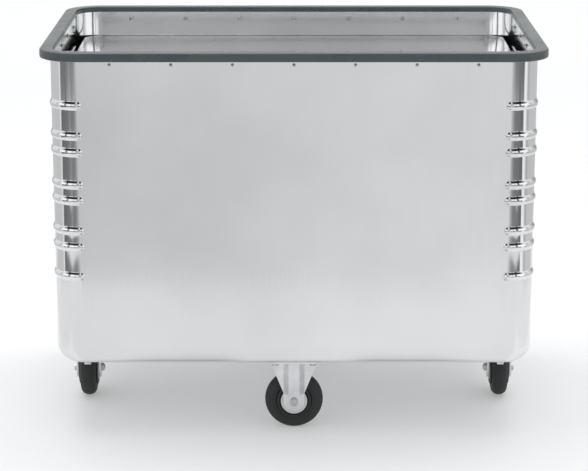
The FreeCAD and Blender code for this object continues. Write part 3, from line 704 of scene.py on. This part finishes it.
# ---- platform -----------------------------------------------------------------------------
def deck():
    """Folded deck: flat top, small edge radius and a skirt, one sheet thick."""
    half_x, half_y = DECK_HIGH.x, DECK_HIGH.y - DECK_GAP
    outline = rounded_plan(half_x, half_y, DECK_CORNER_R)
    count = len(outline)
    profile = [(-DECK_SHEET, DECK_LOW.z), (0.0, DECK_LOW.z), (0.0, DECK_HIGH.z - DECK_EDGE_R)]
    profile += arc_points(-DECK_EDGE_R, DECK_HIGH.z - DECK_EDGE_R, DECK_EDGE_R, 0, 90)[1:]
    inner_top = DECK_HIGH.z - DECK_SHEET
    verts, faces = [], []
    for point, normal in outline:
        verts += [(point.x + normal.x * o, point.y + normal.y * o, z) for o, z in profile]
        verts.append((point.x - normal.x * DECK_SHEET, point.y - normal.y * DECK_SHEET, inner_top))
    width = len(profile) + 1
    for i in range(count):
        j = (i + 1) % count
        for k in range(width - 2):
            faces.append((i * width + k, j * width + k, j * width + k + 1, i * width + k + 1))
        faces.append((i * width, i * width + width - 1, j * width + width - 1, j * width))
    faces.append(tuple(i * width + width - 2 for i in range(count)))
    faces.append(tuple(i * width + width - 1 for i in range(count)))
    obj = finish_mesh(mesh_object("platform_sheet", verts, faces))
    return settle(obj, "platform", "platform_deck", "deck_aluminium")


def helix(name, centre_x, centre_y, low, high, radius):
    """Close-wound spring body with a hook at each end, as a mesh tube."""
    turns = (high - low) / COIL_PITCH
    steps = int(turns * COIL_SIDES)
    points = []
    for i in range(steps + 1):
        a = 2 * math.pi * turns * i / steps
        z = low + (high - low) * i / steps
        points.append(Vector((centre_x + radius * math.cos(a), centre_y + radius * math.sin(a), z)))
    curve = bpy.data.curves.new(name, "CURVE")
    curve.dimensions = "3D"
    curve.bevel_depth = WIRE_R
    curve.bevel_resolution = 1
    curve.use_fill_caps = True
    add_line(curve, points)
    for z, way in ((high, 1), (low, -1)):
        add_line(curve, hook_points(centre_x, centre_y, z, way))
    obj = bpy.data.objects.new(name, curve)
    bpy.context.scene.collection.objects.link(obj)
    mesh = bpy.data.meshes.new_from_object(obj)
    bpy.data.objects.remove(obj)
    made = bpy.data.objects.new(name, mesh)
    bpy.context.scene.collection.objects.link(made)
    for polygon in mesh.polygons:
        polygon.use_smooth = True
    return made


def add_line(curve, points):
    line = curve.splines.new("POLY")
    line.points.add(len(points) - 1)
    for point, place in zip(line.points, points):
        point.co = (*place, 1)


def hook_points(x, y, z, way):
    """Stem and round hook at one end of a spring; way is 1 for the upper end."""
    points = [Vector((x, y, z - way * HOOK_SINK)), Vector((x, y, z + way * (HOOK_STEM - HOOK_R)))]
    centre = Vector((x, y, z + way * (HOOK_STEM + HOOK_RISE)))
    for i in range(HOOK_STEPS + 1):
        a = math.radians(-90 + HOOK_ARC * i / HOOK_STEPS)
        points.append(centre + Vector((0, HOOK_R * math.cos(a), way * HOOK_R * math.sin(a))))
    return points


def springs(side):
    """The four tension springs of one end, as one fixed mesh that does not stretch as the platform sinks.
    """
    node = "right_springs" if side > 0 else "left_springs"
    low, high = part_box(node)
    x = (low.x + high.x) / 2
    radius = (high.x - low.x) / 2 - WIRE_R
    top, bottom = high.z - SPRING_HEAD, low.z + SPRING_FOOT
    obj = joined(node + "_wound", [helix("coil", x, y, bottom, top, radius) for y in SPRING_Y])
    obj.data.materials.append(MATERIALS["spring_steel"])
    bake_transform(obj)
    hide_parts(node)
    return obj


# ---- castors ------------------------------------------------------------------------------
def wheel(name):
    """Tyre, rim and bush of one wheel, turned about its axle."""
    tyre_low, tyre_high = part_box(name + "_tyre")
    centre = (tyre_low + tyre_high) / 2
    size = tyre_high - tyre_low
    axis = Vector((1, 0, 0)) if size.x < size.y else Vector((0, 1, 0))
    half = min(size.x, size.y) / 2
    radius = size.z / 2
    body = name + "_wheel"
    rim_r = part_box(name + "_wheel_rim")[1].z - centre.z
    crown = []
    for i in range(CROWN_STEPS + 1):
        a = math.pi * (i / CROWN_STEPS - 0.5)
        across = math.copysign(abs(math.sin(a)) ** (2 / CROWN_POWER), a)
        up = math.cos(a) ** (2 / CROWN_POWER)
        crown.append((half * across, TYRE_SHOULDER + (radius - TYRE_SHOULDER) * up))
    wall = [(half - SIDEWALL_DISH, SIDEWALL_R), (half - TYRE_FOOT_DISH, rim_r + TYRE_FOOT),
            (half - TYRE_FOOT, rim_r)]
    profile = crown + wall + [(-a, r) for a, r in reversed(wall)]
    tyre = revolved(name + "_tyre_turned", profile, centre, axis, TYRE_SEGMENTS)
    settle(tyre, body, name + "_tyre", "tyre_rubber")
    settle(refined(name + "_wheel_rim", RIM_CHAMFER), body, name + "_wheel_rim", "wheel_plastic")
    bush(name, body, centre, axis)


def bush(name, body, centre, axis):
    """Sleeve with two dished thread guards."""
    low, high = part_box(name + "_wheel_bush")
    half = min(high.x - low.x, high.y - low.y) / 2
    guard_r = (high.z - low.z) / 2
    profile = [(half - GUARD_T, BUSH_SLEEVE)]
    profile += [(half - inset, guard_r - trim) for inset, trim in GUARD_EDGE]
    profile += [(half - inset, r) for inset, r in GUARD_FACE]
    profile = [(-a, r) for a, r in reversed(profile)] + profile
    obj = revolved(name + "_bush_turned", profile, centre, axis, BUSH_SEGMENTS)
    settle(obj, body, name + "_wheel_bush", "bush_nylon")


def refine_all():
    """Round the edges of the remaining metal and plastic parts."""
    sharp = {"front_fork": FORK_CREASE, "rear_fork": FORK_CREASE}
    groups = {
        "profile_aluminium": ["left_guide_rail", "right_guide_rail", "deck_stiffeners", "left_carrier",
                              "right_carrier", "front_mounting_plate", "rear_mounting_plate",
                              "left_mounting_plate", "right_mounting_plate"],
        "zinc_plated_steel": ["front_fork", "rear_fork", "left_swivel_plate", "right_swivel_plate",
                              "left_swivel_fork", "right_swivel_fork", "left_brake_pedal",
                              "right_brake_pedal", "left_ball_race", "right_ball_race",
                              "left_spring_hanger", "right_spring_hanger"],
        "fastener_steel": ["castor_bolts", "castor_nuts", "left_kingpin", "right_kingpin", "left_pedal_pin",
                           "right_pedal_pin", "front_axle", "rear_axle", "left_axle", "right_axle"],
        "shoe_plastic": ["guide_shoes"],
        "buffer_rubber": ["top_stops", "floor_buffers"]}
    bodies = {}
    for body, nodes in frame["record"]["behaviour"]["bodies"].items():
        bodies.update(dict.fromkeys(nodes, body))
    for slot, nodes in groups.items():
        for node in nodes:
            settle(refined(node, CHAMFER, sharp.get(node, CREASE)), bodies[node], node, slot)


# ---- studio -------------------------------------------------------------------------------
FLOOR_HALF = 60.0
FLOOR_ROUGHNESS = 0.6
FLOOR_SPECULAR = 0.2
FLOOR_PATCH = 1.57          # half size of the square of floor that shows in the metal
FLOOR_FADE = 0.10
LOW_EDGE = (-7.0, -3.0)     # degrees of height; from the lowest tones to the band
HIGH_EDGE = (22.0, 27.0)    # from the band to the high tones
CEILING_EDGE = (58.0, 66.0)
BACKDROP = (0.95, 0.955, 0.96, 1.0)
WHITE = (1.0, 1.0, 1.0, 1.0)
CEILING_TONE = (0.84, 0.845, 0.85, 1.0)
FLOOR_SEEN = (0.56, 0.563, 0.57)
FLOOR_MIRRORED = (0.41, 0.413, 0.42)
# painted shade: the darker floor tone that the forks of the fixed castors mirror
FLOOR_FORK_SHADE = (0.27, 0.271, 0.274)
# painted light: the brighter floor tone below the end panels that the metal mirrors
FLOOR_END_LIGHT = (0.50, 0.503, 0.51)
FLOOR_GLOW = 0.28
NEAR_Y = (0.70, 0.80)       # painted shade: a darker patch of floor next to the fixed castors, which only their forks show in reflection
NEAR_Y_START = (0.36, 0.46)
NEAR_X = (0.10, 0.18)
NEAR_X_END = (0.30, 0.45)
# painted shade: the dimmer glow of that darker patch of floor
FORK_SHADE_GLOW = (0.5, 0.5, 0.5, 1.0)
END_NEAR = (0.48, 0.56)     # painted light: a slightly brighter patch of floor below the end panels, as the metal shows it
END_FAR = (1.0, 1.1)
FAR = (1.8, 6.0)            # the floor whitens from here to here
FAR_GLOW = (1.45, 1.45, 1.45, 1.0)
# Tones round the studio, as (degrees from the front, positive to the right, brightness).
LOW_TONES = ((-180, 0.62), (-84, 0.62), (-81, 1.0), (-79, 1.0), (-76, 0.15), (-50, 0.19), (-40, 0.22),
             (-36, 0.34), (-32, 0.22), (-20, 0.22), (-12, 0.40), (-6, 0.62), (0, 0.72), (6, 0.80),
             (12, 0.48), (22, 0.22), (45, 0.19), (60, 0.11), (62, 1.05), (72, 0.95), (80, 0.42),
             (92, 0.62), (180, 0.62))
BAND_TONES = ((-180, 0.70), (-150, 0.80), (-147, 0.25), (-143, 0.25), (-140, 0.85), (-104, 0.85),
              (-90, 0.55), (-75, 1.15), (-57, 1.15), (-55, 0.05), (-50, 0.05), (-48, 1.15), (-30, 1.15),
              (-27, 0.40), (-24, 1.05), (-18, 1.0), (-10, 0.42), (10, 0.46), (18, 1.0), (24, 1.05),
              (27, 0.40), (30, 1.15), (36, 1.15), (38, 0.05), (44, 0.05), (46, 1.15), (75, 1.15),
              (90, 0.55), (104, 0.85), (145, 0.25), (150, 0.80), (180, 0.70))
HIGH_TONES = ((-180, 0.90), (-100, 0.90), (-78, 0.80), (-72, 0.02), (-14, 0.02), (-9, 0.80), (9, 0.80),
              (14, 0.02), (72, 0.02), (78, 0.80), (100, 0.90), (180, 0.90))


def math_node(tree, operation, first, second=0.0):
    made = tree.nodes.new("ShaderNodeMath")
    made.operation = operation
    for socket, value in zip(made.inputs, (first, second)):
        if isinstance(value, (int, float)):
            socket.default_value = value
        else:
            tree.links.new(value, socket)
    return made.outputs[0]


def ramp_node(tree, source, stops, low, high):
    """Colour ramp through (place, brightness) stops between two ends of the scale."""
    ramp = tree.nodes.new("ShaderNodeValToRGB")
    marks = ramp.color_ramp.elements
    marks.remove(marks[1])
    for i, (place, value) in enumerate(stops):
        if i > 0:
            marks.new((place - low) / (high - low))
        marks[i].color = (value, value * 1.004, value * 1.01, 1)
    tree.links.new(source, ramp.inputs["Fac"])
    return ramp.outputs["Color"]


def step_node(tree, source, start, end):
    """Smooth step from 0 to 1 between two values."""
    made = tree.nodes.new("ShaderNodeMapRange")
    made.interpolation_type = "SMOOTHSTEP"
    made.inputs["From Min"].default_value = start
    made.inputs["From Max"].default_value = end
    tree.links.new(source, made.inputs["Value"])
    return made.outputs["Result"]


def between(tree, source, start, end):
    """1 where a value lies between two soft edges, and 0 elsewhere."""
    return math_node(tree, "SUBTRACT", step_node(tree, source, *start), step_node(tree, source, *end))


def mix_colour(tree, factor, first, second):
    made = tree.nodes.new("ShaderNodeMix")
    made.data_type = "RGBA"
    colours = [socket for socket in made.inputs if socket.type == "RGBA"]
    tree.links.new(factor, made.inputs[0])
    for socket, value in zip(colours, (first, second)):
        if isinstance(value, tuple):
            socket.default_value = value
        else:
            tree.links.new(value, socket)
    return [socket for socket in made.outputs if socket.type == "RGBA"][0]


def studio_floor():
    """Pale floor; mirror-like metal sees only a square of it, and the studio's tones beyond."""
    half = FLOOR_HALF
    verts = [(-half, -half, 0), (half, -half, 0), (half, half, 0), (-half, half, 0)]
    floor = mesh_object("studio_floor", verts, [(0, 1, 2, 3)])
    s = Shader("studio_floor_finish")
    s.bsdf.inputs["Roughness"].default_value = FLOOR_ROUGHNESS
    s.bsdf.inputs["Emission Strength"].default_value = FLOOR_GLOW
    s.bsdf.inputs["Specular IOR Level"].default_value = FLOOR_SPECULAR
    tree = s.tree
    place = tree.nodes.new("ShaderNodeNewGeometry")
    split = tree.nodes.new("ShaderNodeSeparateXYZ")
    tree.links.new(place.outputs["Position"], split.inputs[0])
    away_x = math_node(tree, "ABSOLUTE", split.outputs[0])
    away_y = math_node(tree, "ABSOLUTE", split.outputs[1])
    reach = math_node(tree, "MAXIMUM", away_x, away_y)
    beyond = s.remap(reach, 0.0, 1.0, FLOOR_PATCH - FLOOR_FADE, FLOOR_PATCH + FLOOR_FADE)
    path = tree.nodes.new("ShaderNodeLightPath")
    mirrored = path.outputs["Is Glossy Ray"]
    close = math_node(tree, "SUBTRACT", 1.0, step_node(tree, away_y, *NEAR_Y))
    # painted shade: in reflections only, the floor next to the fixed castors is darker and glows less,
    # which darkens the sloped sides of the fork channels
    fork_shade = between(tree, away_x, NEAR_X, NEAR_X_END)
    patch = math_node(tree, "MULTIPLY", close, step_node(tree, away_y, *NEAR_Y_START))
    fork_shade = math_node(tree, "MULTIPLY", patch, fork_shade)
    # painted light: a brighter patch of floor below the end panels, in reflections only
    end_light = between(tree, away_x, END_NEAR, END_FAR)
    end_light = math_node(tree, "MULTIPLY", close, end_light)
    with_end_light = mix_colour(tree, end_light, (*FLOOR_MIRRORED, 1), (*FLOOR_END_LIGHT, 1))
    reflected = mix_colour(tree, fork_shade, with_end_light, (*FLOOR_FORK_SHADE, 1))
    tone = mix_colour(tree, mirrored, (*FLOOR_SEEN, 1), reflected)
    tree.links.new(tone, s.bsdf.inputs["Base Color"])
    far = mix_colour(tree, step_node(tree, reach, *FAR), WHITE, FAR_GLOW)
    glow = mix_colour(tree, math_node(tree, "MULTIPLY", fork_shade, mirrored), far, FORK_SHADE_GLOW)
    tree.links.new(glow, s.bsdf.inputs["Emission Color"])
    hidden = math_node(tree, "MULTIPLY", beyond, mirrored)
    clear = tree.nodes.new("ShaderNodeBsdfTransparent")
    mix = tree.nodes.new("ShaderNodeMixShader")
    tree.links.new(hidden, mix.inputs[0])
    tree.links.new(s.bsdf.outputs[0], mix.inputs[1])
    tree.links.new(clear.outputs[0], mix.inputs[2])
    tree.links.new(mix.outputs[0], tree.nodes["Material Output"].inputs["Surface"])
    floor.data.materials.append(s.material)


def studio_world():
    """White studio; reflections see tones that change round the walls and with height."""
    world = bpy.data.worlds.new("studio")
    bpy.context.scene.world = world
    world.use_nodes = True
    tree = world.node_tree
    background = tree.nodes["Background"]
    place = tree.nodes.new("ShaderNodeTexCoord")
    split = tree.nodes.new("ShaderNodeSeparateXYZ")
    tree.links.new(place.outputs["Generated"], split.inputs[0])
    x, y, z = split.outputs
    turn = math_node(tree, "ARCTAN2", x, math_node(tree, "MULTIPLY", y, -1.0))
    around = math_node(tree, "ADD", math_node(tree, "MULTIPLY", turn, 0.5 / math.pi), 0.5)
    low = ramp_node(tree, around, LOW_TONES, -180, 180)
    band = ramp_node(tree, around, BAND_TONES, -180, 180)
    rise = math_node(tree, "MULTIPLY", math_node(tree, "ARCSINE", z), 180 / math.pi)
    lower = mix_colour(tree, step_node(tree, rise, *LOW_EDGE), low, band)
    high = ramp_node(tree, around, HIGH_TONES, -180, 180)
    walls = mix_colour(tree, step_node(tree, rise, *HIGH_EDGE), lower, high)
    tones = mix_colour(tree, step_node(tree, rise, *CEILING_EDGE), walls, CEILING_TONE)
    path = tree.nodes.new("ShaderNodeLightPath")
    shown = mix_colour(tree, path.outputs["Is Glossy Ray"], BACKDROP, tones)
    tree.links.new(shown, background.inputs["Color"])
    background.inputs["Strength"].default_value = 1.0


# Square lamps: name, place, where they point, size in metres, power in watts.
SOFTBOXES = (("key", (-0.9, 0.5, 4.4), (0, 0, 0.5), 2.4, 70),
             ("fill", (1.3, 0.8, 4.2), (0, 0, 0.4), 2.2, 40))
CAMERA_BACK = 4.466         # metres in front of the rim
CAMERA_RISE = 0.736         # metres above the rim
CAMERA_PITCH = 14.08        # degrees down


def softbox(name, place, target, size, power):
    light = bpy.data.lights.new(name, "AREA")
    light.shape = "RECTANGLE"
    light.size = size
    light.size_y = size
    light.energy = power
    obj = bpy.data.objects.new(name, light)
    bpy.context.scene.collection.objects.link(obj)
    obj.location = place
    obj.rotation_euler = (Vector(target) - Vector(place)).to_track_quat("-Z", "Y").to_euler()
    return obj


def studio_camera():
    """Camera straight in front of the trolley, well above it and tipped down."""
    data = bpy.data.cameras.new("camera")
    data.lens = 135.0
    data.sensor_width = 36.0
    camera = bpy.data.objects.new("camera", data)
    bpy.context.scene.collection.objects.link(camera)
    camera.location = (0.0, RIM_LOW.y - CAMERA_BACK, RIM_TOP + CAMERA_RISE)
    camera.rotation_euler = (math.radians(90 - CAMERA_PITCH), 0, 0)
    bpy.context.scene.camera = camera


def build():
    """Every piece of the trolley, then the studio round it."""
    for side in (-1, 1):
        end_panel(side)
        long_panel(side)
        springs(side)
    floor_skin()
    bumper()
    retainer()
    rivets()
    deck()
    for name in ("front", "rear", "left", "right"):
        wheel(name)
    refine_all()
    studio_floor()
    studio_world()
    for lamp in SOFTBOXES:
        softbox(*lamp)
    studio_camera()


build()
look = bpy.context.scene.view_settings
look.view_transform = "Standard"
